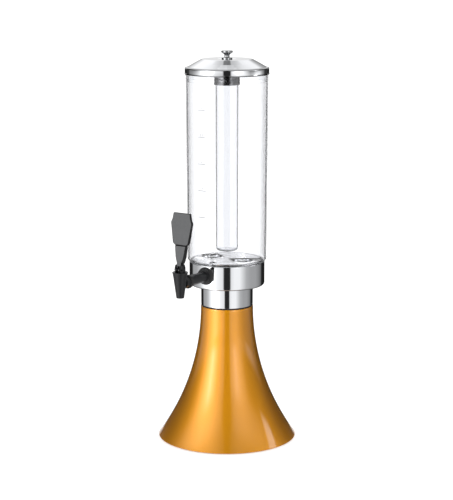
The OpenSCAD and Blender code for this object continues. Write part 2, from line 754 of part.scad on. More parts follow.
grip_outline = [[grip_chamfer_w / 2, 0], [grip_foot_w / 2, grip_chamfer_h],
    [grip_w / 2, grip_h - grip_shoulder_h], [grip_notch_w / 2, grip_h - grip_notch_h],
    [grip_top_w / 2, grip_h]];
grip_side = [[-arm_top_t / 2, 0], [arm_top_t / 2, 0], [grip_foot_t / 2, grip_chamfer_h / 2],
    [grip_top_t / 2, grip_h], [-grip_top_t / 2, grip_h], [-grip_foot_t / 2, grip_chamfer_h / 2]];
module lever_grip() color("#55575b") at_lever() translate([0, crank + arm_offset, arm_top]) difference() {
    both_outlines(mirrored(grip_outline), grip_side, 2 * grip_w, 2 * grip_foot_t);
    slab(tang_w / 2 + fit / 2, tang_half_t + fit / 2, 0, -over, tang_h + over + fit);
}

// Lid

lid_line = [
    [lid_r, skirt_top - lid_t], [lid_r - lid_t / 2, skirt_top - lid_t / 8], [lid_r - lid_t, skirt_top],
    [lid_r - shoulder_in, skirt_top + shoulder_rise], [lid_r - cone_foot, skirt_top + cone_foot_rise],
    [lid_flat_r + 2 * lid_t, flat_z - lid_t], [lid_flat_r, flat_z - lid_t / 5],
    [lid_flat_r - 2 * lid_t, flat_z], [knob_flange_r * 1.5, knob_seat + lid_t / 5],
    [knob_flange_r, knob_seat], [knob_screw_r + fit, knob_seat]];
module lid_shell() color("#dcdee1") rotate_extrude() polygon(concat(
    [[lid_in_r, skirt_z], [lid_r, skirt_z], [lid_r + bead_r, skirt_z + bead_h / 4],
        [lid_r + bead_r, skirt_z + bead_h * 3 / 4], [lid_r, skirt_z + bead_h]],
    lid_line,
    [for (i = [len(lid_line) - 1:-1:3]) lid_line[i] - [0, lid_t]],
    [[lid_in_r, skirt_top - lid_t]]));

module lid_seal() color("#f2f3f4") rotate_extrude() polygon([
    [seal_out_r - seal_wall, rim_z - seal_skirt_h], [seal_out_r, rim_z - seal_skirt_h], [seal_out_r, rim_z],
    [tank_lip_r, rim_z], [tank_lip_r, rim_z + seal_t], [seal_out_r - seal_wall, rim_z + seal_t]]);

module lid_knob() color("#cfd1d4") translate([0, 0, knob_seat]) difference() {
    rotate_extrude() polygon(concat(
        [[0, 0], [knob_flange_r, 0], [knob_flange_r, knob_flange_t - 2 * fit],
            [knob_flange_r - 2 * fit, knob_flange_t]],
        [for (p = knob_waist_shares) [p[0] * knob_neck_r, p[1] * knob_h]],
        [for (p = knob_head_shares) [p[0] * knob_r, p[1] * knob_h]],
        [[knob_face_r, knob_h], [0, knob_h]]));
    translate([0, 0, -over]) cylinder(r = knob_screw_r + fit / 10, h = knob_screw_depth + over);
}

knob_screw_z = cap_roof + cap_recess - knob_screw_head_h;
module knob_screw() color("#b8babd") translate([0, 0, knob_screw_z]) {
    cylinder(r = knob_screw_head_r, h = knob_screw_head_h);
    cylinder(r = knob_screw_r, h = knob_seat + knob_screw_depth - fit - knob_screw_z);
}

module ice_cap() color("#1a1b1d") rotate_extrude() polygon([
    [cap_r - fit * 2, cap_z], [cap_r, cap_z + fit * 2], [cap_r, cap_deck - fit * 4],
    [cap_r - fit * 4, cap_deck],
    [cap_boss_r, cap_deck], [cap_boss_r, cap_top], [knob_screw_r + fit / 10, cap_top],
    [knob_screw_r + fit / 10, cap_roof + cap_recess], [knob_screw_head_r + fit * 5, cap_roof + cap_recess],
    [knob_screw_head_r + fit * 5, cap_roof], [ice_r + slip, cap_roof], [ice_r + slip, cap_z]]);

module ice_tube_seal() color("#e8eaec") ring(ice_rim_z, ice_r - ice_wall, ice_r, ice_seal_t);

module ice_tube() color([0.9, 0.93, 0.95, 0.3]) rotate_extrude() polygon(concat(
    [[0, ice_z]],
    arc(ice_r - ice_corner, ice_z + ice_corner, ice_corner, -90, 0),
    [[ice_r, ice_rim_z], [ice_r - ice_wall, ice_rim_z]],
    arc(ice_r - ice_corner, ice_z + ice_corner, ice_corner - ice_wall, 0, -90),
    [[0, ice_z + ice_wall]]));

stand_shell();
bottom_plate();
foot_ring();
cast_weight();
tie_rod();
rod_nuts();
rod_washers();
neck_gasket();
neck_ring();
collar();
deck_posts();
deck_plate();
seat_gasket();
tank();
well_washers();
tank_screws();
volume_scale();
drain_elbow();
drain_seal();
shank();
saddle_washer();
inner_saddle();
shank_nut();
spout_body();
union_nut();
bonnet();
bonnet_seal();
lever_pin();
valve_stem();
seat_cup();
valve_spring();
lever_arm();
lever_grip();
crank_pin();
lid_shell();
lid_seal();
lid_knob();
knob_screw();
ice_cap();
ice_tube_seal();
ice_tube();
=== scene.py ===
import math
import bpy
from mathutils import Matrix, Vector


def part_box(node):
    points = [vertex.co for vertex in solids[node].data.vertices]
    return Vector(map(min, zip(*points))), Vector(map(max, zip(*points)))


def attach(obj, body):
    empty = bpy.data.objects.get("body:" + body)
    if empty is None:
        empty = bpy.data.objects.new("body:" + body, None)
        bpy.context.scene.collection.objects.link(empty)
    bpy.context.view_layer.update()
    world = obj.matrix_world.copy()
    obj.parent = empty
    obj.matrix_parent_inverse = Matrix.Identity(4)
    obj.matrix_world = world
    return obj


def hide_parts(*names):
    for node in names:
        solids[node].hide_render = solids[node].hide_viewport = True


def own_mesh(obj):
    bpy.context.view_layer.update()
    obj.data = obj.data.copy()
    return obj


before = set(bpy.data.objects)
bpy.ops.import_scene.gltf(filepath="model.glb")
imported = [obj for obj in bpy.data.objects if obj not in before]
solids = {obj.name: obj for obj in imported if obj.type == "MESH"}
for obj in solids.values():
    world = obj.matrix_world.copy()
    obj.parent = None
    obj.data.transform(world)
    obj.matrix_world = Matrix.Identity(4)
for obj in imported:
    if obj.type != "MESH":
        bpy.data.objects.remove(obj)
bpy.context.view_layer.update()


# Stand shell: a spun metal trumpet that carries the whole tower. Its lower edge is rolled and its mouth is
# turned in. It is sprayed with a glossy gold-orange metallic coat under clear lacquer.
mm, pole_r, weld, most_of_side, crease = 0.001, 0.000001, 0.000004, 0.49, math.radians(35)


def rounded(corners, steps=5):
    """Turns (radius, height, rounding) corners in millimetres into an outline with its corners rounded."""
    outline = []
    for i, (x, z, r) in enumerate(corners):
        if r == 0 or i in (0, len(corners) - 1):
            outline.append((x * mm, z * mm))
            continue
        ax, az = corners[i - 1][0] - x, corners[i - 1][1] - z
        bx, bz = corners[i + 1][0] - x, corners[i + 1][1] - z
        a, b = math.hypot(ax, az), math.hypot(bx, bz)
        ax, az, bx, bz = ax / a, az / a, bx / b, bz / b
        turn = math.acos(max(-1, min(1, ax * bx + az * bz)))
        setback = min(r / math.tan(turn / 2), most_of_side * a, most_of_side * b)
        r = setback * math.tan(turn / 2)
        mx, mz = ax + bx, az + bz
        m = math.hypot(mx, mz)
        cx, cz = x + mx / m * r / math.sin(turn / 2), z + mz / m * r / math.sin(turn / 2)
        start = math.atan2(z + az * setback - cz, x + ax * setback - cx)
        sweep = math.atan2(z + bz * setback - cz, x + bx * setback - cx) - start
        sweep = (sweep + math.pi) % (2 * math.pi) - math.pi
        for k in range(steps + 1):
            t = start + sweep * k / steps
            outline.append(((cx + r * math.cos(t)) * mm, (cz + r * math.sin(t)) * mm))
    return outline


def closed(corners, steps=5):
    """The same for an outline that comes back to its first corner, which stays sharp."""
    return rounded(corners + [corners[0]], steps)


def start_piece(add, **place):
    """Adds a primitive with nothing else selected."""
    bpy.ops.object.select_all(action="DESELECT")
    add(**place)
    return bpy.context.object


def pick(piece):
    """Selects one piece alone."""
    bpy.ops.object.select_all(action="DESELECT")
    bpy.context.view_layer.objects.active = piece
    piece.select_set(True)


def settle():
    """Puts a piece's place, turn and size into its mesh."""
    bpy.ops.object.transform_apply(location=True, rotation=True, scale=True)


def finish_mesh(piece, name):
    """Closes a mesh that is still in edit mode, and smooths all but its sharp edges."""
    bpy.ops.mesh.select_all(action="SELECT")
    bpy.ops.mesh.remove_doubles(threshold=weld)
    bpy.ops.mesh.normals_make_consistent(inside=False)
    bpy.ops.object.mode_set(mode="OBJECT")
    settle()
    bpy.ops.object.shade_smooth_by_angle(angle=crease)
    piece.name = piece.data.name = name
    return piece


def turned(name, outline, sides=160, at=(0, 0)):
    """Draws a ring up through each radius and height of an outline, as on a lathe."""
    width, height = max(outline[0][0], pole_r), outline[0][1]
    piece = start_piece(bpy.ops.mesh.primitive_circle_add, vertices=sides, radius=width,
                        location=(at[0], at[1], height), enter_editmode=True)
    for radius, level in outline[1:]:
        radius = max(radius, pole_r)
        bpy.ops.mesh.extrude_edges_move(TRANSFORM_OT_translate={"value": (0, 0, level - height)})
        bpy.ops.transform.resize(value=(radius / width, radius / width, 1))
        width, height = radius, level
    return finish_mesh(piece, name)


class Value:
    """A number that changes over a surface. Sums on it become Math nodes."""

    def __init__(self, tree, socket):
        self.tree, self.socket = tree, socket

    def sum(self, operation, *items):
        node = self.tree.nodes.new("ShaderNodeMath")
        node.operation = operation
        for place, item in enumerate(items):
            if isinstance(item, Value):
                self.tree.links.new(item.socket, node.inputs[place])
            else:
                node.inputs[place].default_value = item
        return Value(self.tree, node.outputs[0])

    def __add__(self, other): return self.sum("ADD", self, other)
    def __radd__(self, other): return self.sum("ADD", other, self)
    def __sub__(self, other): return self.sum("SUBTRACT", self, other)
    def __rsub__(self, other): return self.sum("SUBTRACT", other, self)
    def __mul__(self, other): return self.sum("MULTIPLY", self, other)
    def __rmul__(self, other): return self.sum("MULTIPLY", other, self)
    def __truediv__(self, other): return self.sum("DIVIDE", self, other)
    def __gt__(self, other): return self.sum("GREATER_THAN", self, other)
    def __pow__(self, other): return self.sum("POWER", self, other)
    def turn_from(self, other): return self.sum("ARCTAN2", self, other)
    def size(self): return self.sum("ABSOLUTE", self)


class Finish:
    """One finish of the tower: a Principled shader and the nodes that feed it."""

    def __init__(self, name, **fixed):
        self.material = bpy.data.materials.new(name)
        self.material.use_nodes = True
        self.tree = self.material.node_tree
        self.shader = self.tree.nodes["Principled BSDF"]
        self.output = self.tree.nodes["Material Output"]
        for socket, value in fixed.items():
            self.shader.inputs[socket.replace("_", " ")].default_value = value

    def add(self, kind, settings=None, values=None, out=0):
        """Adds a node: its settings first, then the values or links of its sockets."""
        node = self.tree.nodes.new(kind)
        for name, value in (settings or {}).items():
            if name == "stops":
                ramp = node.color_ramp
                while len(ramp.elements) < len(value):
                    ramp.elements.new(1)
                for element, (place, grey) in zip(ramp.elements, value):
                    element.position = place
                    element.color = (grey, grey, grey, 1)
            else:
                setattr(node, name, value)
        for name, value in (values or {}).items():
            self.feed(node.inputs[name], value)
        return Value(self.tree, node.outputs[out])

    def feed(self, socket, value):
        if isinstance(value, Value):
            self.tree.links.new(value.socket, socket)
        else:
            socket.default_value = value

    def height(self):
        """The height on the tower, in metres."""
        return self.add("ShaderNodeSeparateXYZ", {}, {
            "Vector": self.add("ShaderNodeTexCoord", out="Object")}, out="Z")

    def grain(self, scale, detail=3, stretch=(1, 1, 1), rough=0.5):
        """Fine noise from 0 to 1, drawn out across each stretched axis."""
        where = self.add("ShaderNodeMapping", {}, {
            "Vector": self.add("ShaderNodeTexCoord", out="Object"), "Scale": stretch})
        return self.add("ShaderNodeTexNoise", {}, {
            "Vector": where, "Scale": scale, "Detail": detail, "Roughness": rough})

    def blend(self, share, first, second):
        """Goes from the first colour, at share 0, to the second, at 1."""
        return self.add("ShaderNodeMix", {"data_type": "RGBA"}, {0: share, 6: first, 7: second}, out=2)

    def set(self, socket, value):
        self.feed(self.shader.inputs[socket], value)

    def bump(self, height, strength, distance):
        self.set("Normal", self.add("ShaderNodeBump", {}, {
            "Height": height, "Strength": strength, "Distance": distance}))

    def on(self, *pieces):
        for piece in pieces:
            piece.data.materials.clear()
            piece.data.materials.append(self.material)


def dress(piece, finish, body, slot, *nodes):
    """Gives a finished piece its material and its body, and hides the solids it stands for. Its slot is not
    used.
    """
    finish.on(piece)
    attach(piece, body)
    if nodes:
        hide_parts(*nodes)


foot_r, foot_edge, mouth_r, mouth = 108.6, 1.0, 41.0, 211.5
shell_wall, mouth_lip_r, flank_steps = 1.6, 36.3, 40
spread, drop = foot_r - mouth_r, mouth - foot_edge
flank_r = (spread ** 2 + drop ** 2) / (2 * spread)
flank = []
for step in range(flank_steps + 1):
    slope = math.asin(drop / flank_r) * (1 - step / flank_steps)
    flank.append((mouth_r + flank_r * (1 - math.cos(slope)), mouth - flank_r * math.sin(slope)))
rolled_edge = [(foot_r - 2.2, foot_edge + 1.6), (foot_r - 1.9, foot_edge + 0.5), (foot_r - 1.2, foot_edge),
               (foot_r - 0.5, foot_edge + 0.05), (foot_r - 0.1, foot_edge + 0.4)]
outside = [(x, z) for x, z in flank if foot_edge + 1.0 < z < mouth - 0.9]
turned_lip = [(mouth_r, mouth - 0.6), (mouth_r - 0.2, mouth - 0.15), (mouth_r - 0.6, mouth),
              (mouth_lip_r, mouth), (mouth_lip_r, mouth - shell_wall),
              (mouth_r - shell_wall, mouth - shell_wall - 0.4)]
inside = [(x - shell_wall, z - 0.3) for x, z in reversed(flank) if foot_edge + 3 < z < mouth - 3]
shell = rolled_edge + outside + turned_lip + inside + rolled_edge[:1]
stand_shell = turned("stand_shell_spun", [(x * mm, z * mm) for x, z in shell], sides=224)

gold = Finish("gold_coat", Metallic=1.0, Roughness=0.5, Coat_Weight=1.0, Coat_Roughness=0.07, Coat_IOR=1.52)
flakes = gold.grain(1500, 2)
cloud = gold.grain(9, 3)
deep_gold, light_gold = (0.62, 0.238, 0.006, 1), (0.77, 0.335, 0.012, 1)
gold.set("Base Color", gold.blend(flakes * 0.55 + cloud * 0.45, deep_gold, light_gold))
gold.set("Roughness", 0.45 + flakes * 0.1)
gold.bump(gold.grain(420, 2), 0.05, 0.0002)
dress(stand_shell, gold, "stand_and_tank", "gold_shell", "stand_shell")


# Bottom plate, cast weight and tie rod: a rolled steel disc closes the foot, a cast disc lies on it for weight,
# and one plated rod with nuts and washers clamps plate, weight, stand and collar together.
steel = Finish("rolled_steel", Metallic=1.0, Roughness=0.4)
brushing = steel.grain(60, 4, (1, 14, 1))
steel.set("Base Color", steel.blend(brushing, (0.34, 0.35, 0.36, 1), (0.5, 0.51, 0.52, 1)))
steel.set("Roughness", 0.3 + brushing * 0.25)
steel.bump(steel.grain(500, 2, (1, 20, 1)), 0.08, 0.0002)
steel.on(solids["bottom_plate"])

casting = Finish("raw_casting", Metallic=0.6, Roughness=0.75)
pits = casting.grain(320, 6, rough=0.7)
casting.set("Base Color", casting.blend(pits, (0.03, 0.03, 0.032, 1), (0.14, 0.135, 0.13, 1)))
casting.bump(pits, 0.5, 0.0008)
casting.on(solids["cast_weight"])

zinc = Finish("bright_plating", Metallic=1.0, Roughness=0.25)
haze = zinc.grain(240, 4)
zinc.set("Base Color", zinc.blend(haze, (0.55, 0.56, 0.57, 1), (0.72, 0.72, 0.71, 1)))
zinc.set("Roughness", 0.16 + haze * 0.2)
zinc.bump(zinc.grain(900, 2), 0.04, 0.0001)
zinc.on(solids["tie_rod"], solids["rod_nuts"], solids["rod_washers"])


# Foot ring: a moulded rubber ring glued under the plate, so that the tower grips the table.
# Its lower outer edge is bevelled.
ring_in, ring_out, ring_top, ring_bevel = 85, 94, 8, 1.5
foot_ring = turned("foot_ring_moulded", closed([
    (ring_in, ring_top, 0), (ring_in, 0, 0.8), (ring_out - ring_bevel, 0, 0.8), (ring_out, ring_bevel, 0.8),
    (ring_out, ring_top, 0.3)]))
rubber = Finish("black_rubber", Roughness=0.72, Specular_IOR_Level=0.35)
dust = rubber.grain(180, 5, rough=0.65)
rubber.set("Base Color", rubber.blend(dust, (0.012, 0.012, 0.013, 1), (0.035, 0.034, 0.034, 1)))
rubber.set("Roughness", 0.62 + dust * 0.22)
rubber.bump(rubber.grain(1400, 3), 0.22, 0.0002)
dress(foot_ring, rubber, "stand_and_tank", "black_rubber", "foot_ring")


# Neck: a thin rubber gasket shows as a dark line between the gold and the chrome, and the drawn neck ring
# stands in the shell's mouth with a small tuck at its foot.
gasket_in, gasket_out, gasket_foot, gasket_top = 36.5, 40.4, mouth + 0.1, mouth + 1.1
neck_gasket = turned("neck_gasket_cut", closed([
    (gasket_in, gasket_foot, 0), (gasket_out, gasket_foot, 0.3), (gasket_out, gasket_top, 0.3),
    (gasket_in, gasket_top, 0.2)]))
dress(neck_gasket, rubber, "stand_and_tank", "black_rubber", "neck_gasket")

neck_r, neck_wall, neck_top, neck_tuck, socket_r, socket_foot = 40.7, 1.6, 245.2, 1.2, 36, 207.6
neck_foot = gasket_top + 0.1
neck_ring = turned("neck_ring_drawn", closed([
    (socket_r, socket_foot, 0), (socket_r, neck_foot, 0.3), (neck_r - neck_tuck, neck_foot, 0.3),
    (neck_r, neck_foot + neck_tuck, 0.6), (neck_r, neck_top, 0.1), (neck_r - neck_wall, neck_top, 0.1),
    (neck_r - neck_wall, neck_foot + 1.7, 0.5), (socket_r - neck_wall, neck_foot + neck_wall, 0.3),
    (socket_r - neck_wall, socket_foot, 0.3)]), sides=192)

collar_foot, edge_shade = 245.3, 2.5
chrome = Finish("mirror_plating", Metallic=1.0, Roughness=0.04, Base_Color=(0.62, 0.63, 0.65, 1))
smudge = chrome.grain(26, 5, rough=0.6)
# The chrome is painted dark and rougher in a narrow band over the collar's underside and the foot of its rounded
# corner: a painted shade line along the collar's lower edge.
painted_shade_band = chrome.add("ShaderNodeValToRGB", {
    "stops": [(0, 1), (0.1, 1), (0.11, 0.25), (0.6, 0.25), (1, 1)]}, {
    "Fac": (chrome.height() - (collar_foot - 0.3) * mm) / (edge_shade * mm)})
plating = chrome.blend(smudge, (0.6, 0.61, 0.63, 1), (0.65, 0.66, 0.675, 1))
chrome.set("Base Color", chrome.blend(painted_shade_band, (0.05, 0.05, 0.052, 1), plating))
chrome.set("Roughness", 0.025 + smudge ** 3 * 0.12 + (1 - painted_shade_band) * 0.5)
chrome.bump(chrome.grain(40, 2, (1, 1, 60)), 0.012, 0.0001)
dress(neck_ring, chrome, "stand_and_tank", "mirror_chrome", "neck_ring")


# Collar: a deep-drawn chrome cup with a rounded lower corner. Its upper edge is turned inwards as a flange
# that the tank's gasket lies on, and a rib under it centres the neck ring.
collar_r, collar_top, collar_wall = 58.9, 283.0, 1.6
flange_in, rod_hole_r, rib_in, rib_drop = 54.4, 4.2, 37.3, 3.0
collar = turned("collar_drawn", closed([
    (rod_hole_r, collar_foot, 0.1), (rib_in, collar_foot, 0.1), (rib_in, collar_foot - rib_drop, 0.2),
    (rib_in + collar_wall, collar_foot - rib_drop, 0.2), (rib_in + collar_wall, collar_foot, 0.1),
    (collar_r, collar_foot, 3.6), (collar_r, collar_top, 1.2), (flange_in, collar_top, 0.3),
    (flange_in, collar_top - collar_wall, 0.3), (collar_r - collar_wall, collar_top - collar_wall, 0.3),
    (collar_r - collar_wall, collar_foot + collar_wall, 2.0), (rod_hole_r, collar_foot + collar_wall, 0.1)], 8),
    sides=224)
dress(collar, chrome, "stand_and_tank", "mirror_chrome", "collar")


# Deck: a polished pressed sheet closes the collar, with two dishes for the tank's wells. Two posts under the
# dishes take the tank's screws.
deck = Finish("polished_sheet", Metallic=1.0, Roughness=0.08)
spun = deck.grain(30, 4)
deck.set("Base Color", deck.blend(spun, (0.8, 0.81, 0.83, 1), (0.9, 0.9, 0.91, 1)))
deck.set("Roughness", 0.15 + spun * 0.14)
deck.bump(deck.grain(700, 2, (1, 12, 1)), 0.02, 0.0001)
deck.on(solids["deck_plate"])
zinc.on(solids["deck_posts"])


# Tank: one clear moulded beaker with a slight taper, a thick floor with two sunken wells, and a short drain
# spigot. It stands on a soft gasket and is held by a screw and washer in each well.
def cut(piece, tool, operation="DIFFERENCE"):
    """Cuts a piece by another, or joins it on, and deletes the tool."""
    pick(piece)
    change = piece.modifiers.new("cut", "BOOLEAN")
    change.operation, change.object, change.solver = operation, tool, "EXACT"
    bpy.ops.object.modifier_apply(modifier="cut")
    bpy.data.objects.remove(tool)
    bpy.ops.object.shade_smooth_by_angle(angle=crease)


tank_foot, tank_floor, tank_rim, tank_step, step_rise = 283.55, 286.1, 582.0, 565.6, 6
tank_foot_r, tank_foot_in, tank_step_r, tank_rim_r, tank_wall = 61.6, 59.05, 63.6, 63.8, 2.6
tank = turned("tank_moulded", rounded([
    (0, tank_foot, 0), (tank_foot_r, tank_foot, 5), (tank_step_r, tank_step, 3),
    (tank_rim_r, tank_step + step_rise, 3), (tank_rim_r, tank_rim, 0.8),
    (tank_rim_r - tank_wall, tank_rim, 0.8),
    (tank_rim_r - tank_wall, tank_step + step_rise, 3), (tank_step_r - tank_wall, tank_step, 3),
    (tank_foot_in, tank_floor, 3), (0, tank_floor, 0)], 8), sides=192)

well_x, boss_foot, boss_r, screw_r = 28.6, 280.05, 18.7, 2.7
well_floor, well_r, groove_in, groove_out, groove_deep = 282.6, 14.0, 10.6, 12.1, 0.8
into_floor, over_floor, below_boss, in_floor = tank_foot + 0.65, tank_floor + 1.3, 279, 284
for x in (-well_x, well_x):
    at = (x * mm, 0)
    cut(tank, turned("boss", rounded([
        (0, boss_foot, 0), (boss_r - 2.3, boss_foot, 0.6), (boss_r, boss_foot + 2.85, 0.5),
        (boss_r, into_floor, 0), (0, into_floor, 0)]), 96, at), "UNION")
    cut(tank, turned("well", rounded([
        (0, well_floor, 0), (groove_in, well_floor, 0.2), (groove_in, well_floor - groove_deep, 0.2),
        (groove_out, well_floor - groove_deep, 0.2), (groove_out, well_floor, 0.2), (well_r, well_floor, 0.5),
        (well_r + 2.2, tank_floor, 0.6), (well_r + 3.2, tank_floor + 0.3, 0), (well_r + 3.2, over_floor, 0),
        (0, over_floor, 0)]), 96, at))
    cut(tank, turned("screw_hole", rounded([
        (0, below_boss, 0), (screw_r, below_boss, 0), (screw_r, in_floor, 0), (0, in_floor, 0)]), 48, at))

spigot_at, spigot_foot, spigot_r, drain_r = (0, -39 * mm), 274.5, 6.5, 4.2
cut(tank, turned("spigot", rounded([
    (0, spigot_foot, 0), (spigot_r, spigot_foot, 0.5), (spigot_r, in_floor, 0),
    (0, in_floor, 0)]), 64, spigot_at), "UNION")
cut(tank, turned("drain", rounded([
    (0, spigot_foot - 0.5, 0), (drain_r, spigot_foot - 0.5, 0), (drain_r, tank_floor - 0.5, 0),
    (drain_r + 0.7, tank_floor + 0.9, 0), (0, tank_floor + 0.9, 0)]), 64, spigot_at))

clear = Finish("clear_plastic", Base_Color=(0.985, 0.99, 1.0, 1), Roughness=0.0, IOR=1.49,
               Transmission_Weight=1.0)
clear.set("Roughness", 0.004 + clear.grain(14, 4) ** 4 * 0.03)
clear.bump(clear.grain(5, 2, (1, 1, 0.4)), 0.02, 0.0001)
clear.feed(clear.output.inputs["Volume"], clear.add("ShaderNodeVolumeAbsorption", {}, {
    "Color": (0.66, 0.64, 0.72, 1), "Density": 13.0}, out="Volume"))
dress(tank, clear, "stand_and_tank", "clear_plastic", "tank")

silicone = Finish("milky_silicone", Base_Color=(0.8, 0.82, 0.83, 1), Roughness=0.35, Transmission_Weight=0.4)
silicone.set("Roughness", 0.3 + silicone.grain(300, 3) * 0.25)
silicone.bump(silicone.grain(700, 2), 0.08, 0.0002)
silicone.on(solids["seat_gasket"], solids["ice_tube_seal"], solids["seat_cup"])
rubber.on(solids["well_washers"])
zinc.on(solids["tank_screws"])


# Volume scale: five short lines round the tank, each with its small number, printed in pale grey.
# Every mark stands for another half litre.
first_mark, mark_rise, mark_turn = 358.7, 41.0, math.radians(-4)
line_length, line_width, numeral_size, numeral_gap = 15, 0.9, 5.6, 1.6
taper_foot, print_proud = 288.5, 0.06
print_ink = Finish("grey_print", Roughness=0.6)
print_ink.set("Base Color", print_ink.blend(
    print_ink.grain(900, 3), (0.2, 0.21, 0.22, 1), (0.3, 0.31, 0.32, 1)))
print_ink.set("Alpha", 0.7 + print_ink.grain(1300, 2) * 0.3)
for step, number in enumerate(("1", "1.5", "2", "2.5", "3")):
    mark = first_mark + mark_rise * step
    widening = (tank_step_r - tank_foot_r) * (mark - taper_foot) / (tank_step - taper_foot)
    wall_r = (tank_foot_r + widening + print_proud) * mm
    numeral = start_piece(bpy.ops.object.text_add, rotation=(math.radians(90), 0, 0))
    numeral.data.body, numeral.data.size, numeral.data.align_x = number, numeral_size * mm, "CENTER"
    numeral.data.space_character = 1.05
    bpy.ops.object.convert(target="MESH")
    settle()
    line = start_piece(bpy.ops.mesh.primitive_grid_add, x_subdivisions=24, y_subdivisions=1,
                       size=line_length * mm, rotation=(math.radians(90), 0, 0))
    settle()
    for vertex in line.data.vertices:
        vertex.co.z = vertex.co.z * line_width / line_length - numeral_gap * mm
    numeral.select_set(True)
    bpy.context.view_layer.objects.active = line
    bpy.ops.object.join()
    for vertex in line.data.vertices:
        turn = vertex.co.x / wall_r + mark_turn
        rise = (mark + numeral_gap + line_width / 2) * mm
        vertex.co = (wall_r * math.sin(turn), -wall_r * math.cos(turn), vertex.co.z + rise)
    line.name = line.data.name = "volume_mark_" + number.replace(".", "_")
    dress(line, print_ink, "stand_and_tank", "grey_print", "volume_scale")


# Drain and shank: inside the collar a black moulded elbow takes the tank's spigot and turns it towards the tap.
# The shank screws in from outside, between a soft outer washer and an inner saddle with its nut.
tap = 267.6


def along_tap(piece):
    """Lays a piece that was turned upright along the shank's axis, pointing at the pourer."""
    pick(piece)
    piece.rotation_euler = (math.radians(90), 0, 0)
    piece.location = (0, 0, tap * mm)
    settle()
    return piece


bore_r, shank_r, shank_start, shank_end, flange_r, flange_at = 4.5, 8.2, 45.9, 107.5, 9.2, 106.0
shoulder_r, shoulder_at, shoulder_deep = 12.3, 61.3, 3.0
shank = along_tap(turned("shank_moulded", closed([
    (bore_r, shank_start, 0), (shank_r, shank_start, 0.5), (shank_r, shoulder_at, 0.1),
    (shoulder_r, shoulder_at, 0.5), (shoulder_r, shoulder_at + shoulder_deep, 0.9),
    (shank_r, shoulder_at + shoulder_deep, 1.0), (shank_r, flange_at, 0.2), (flange_r, flange_at, 0.2),
    (flange_r, shank_end, 0.2), (bore_r, shank_end, 0.3)]), 96))
plastic = Finish("black_plastic", Roughness=0.33, Specular_IOR_Level=0.2)
mould = plastic.grain(260, 4)
plastic.set("Base Color", plastic.blend(mould, (0.009, 0.0095, 0.0105, 1), (0.017, 0.0175, 0.019, 1)))
plastic.set("Roughness", 0.27 + mould * 0.14)
plastic.bump(plastic.grain(1700, 3), 0.1, 0.0001)
dress(shank, plastic, "stand_and_tank", "black_plastic", "shank")
plastic.on(solids["drain_elbow"], solids["inner_saddle"], solids["shank_nut"])
rubber.on(solids["drain_seal"])

washer_in, washer_r, washer_back, washer_front = 8.5, 13.9, 50, shoulder_at - 0.05
saddle = along_tap(turned("saddle_washer_moulded", closed([
    (washer_in, washer_back, 0), (washer_r, washer_back, 0), (washer_r, washer_front, 2.4),
    (washer_in, washer_front, 0.3)]), 96))
cut(saddle, turned("collar_form", rounded([
    (0, 250, 0), (collar_r + 0.05, 250, 0), (collar_r + 0.05, 290, 0), (0, 290, 0)]), 224))
dress(saddle, rubber, "stand_and_tank", "black_rubber", "saddle_washer")


# Spout: a tapered black moulding with a flared rim and a side socket. A ribbed union nut pulls the socket
# onto the shank's flange.
reach = -126 * mm
outlet_r, spout_foot, spout_rim_r, spout_rim = 4.3, 245.6, 11.9, 285.5
tip_r, flare_r, flare, plug_r, plug_seat, valve_seat_r, valve_seat = 5.9, 10.2, 276.9, 8.7, 278.5, 6.0, 258.3
spout = turned("spout_moulded", closed([
    (outlet_r, spout_foot, 0.2), (tip_r, spout_foot, 0.5), (flare_r, flare, 4),
    (spout_rim_r - 0.6, spout_rim - 2.4, 0.6), (spout_rim_r, spout_rim - 1.2, 0.4),
    (spout_rim_r, spout_rim, 0.4), (plug_r, spout_rim, 0.3),
    (plug_r, plug_seat, 0.3), (plug_r - 0.8, plug_seat, 0.2), (valve_seat_r, valve_seat, 0.2),
    (outlet_r, valve_seat - 1.6, 0.2)]), 128, (0, reach))
socket_out_r, socket_len, socket_end = 8.6, 2.5, 118.5
stub = along_tap(turned("stub", closed([
    (bore_r, shank_end, 0), (flange_r, shank_end, 0.3), (flange_r, shank_end + socket_len, 0.4),
    (socket_out_r, shank_end + socket_len, 0.3), (socket_out_r, socket_end, 0), (bore_r, socket_end, 0)]), 96))
cut(spout, stub, "UNION")
dress(spout, plastic, "stand_and_tank", "black_plastic", "spout_body")

nut_r, nut_start, nut_end, nut_neck_r, nut_bore_r = 10.3, 104.7, 109.7, 8.4, 9.4
union_nut = along_tap(turned("union_nut_ribbed", closed([
    (nut_neck_r, nut_start, 0.2), (nut_r, nut_start, 0.5), (nut_r, nut_end, 0.4), (nut_bore_r, nut_end, 0.2),
    (nut_bore_r, flange_at, 0.2), (nut_neck_r, flange_at, 0.2)]), 108))
rib_count, rib_wide, rib_long, rib_soft, rib_middle = 18, 1.1, 4.0, 0.35, 107.3
nut_middle = (0, -rib_middle * mm, tap * mm)
rib = start_piece(bpy.ops.mesh.primitive_cube_add, size=1, scale=(rib_wide * mm, rib_long * mm, rib_wide * mm),
                  location=(0, nut_middle[1], nut_middle[2] + nut_r * mm))
settle()
soften = rib.modifiers.new("soften", "BEVEL")
soften.width, soften.segments = rib_soft * mm, 3
bpy.ops.object.modifier_apply(modifier="soften")
bpy.ops.object.shade_smooth_by_angle(angle=crease)
bpy.ops.transform.rotate(value=math.pi / rib_count, orient_axis="Y", center_override=nut_middle)
ribs = [rib]
while len(ribs) < rib_count:
    bpy.ops.object.duplicate()
    bpy.ops.transform.rotate(value=2 * math.pi / rib_count, orient_axis="Y", center_override=nut_middle)
    ribs.append(bpy.context.object)
pick(union_nut)
for rib in ribs:
    rib.select_set(True)
bpy.ops.object.join()
dress(union_nut, rubber, "stand_and_tank", "black_plastic", "union_nut")
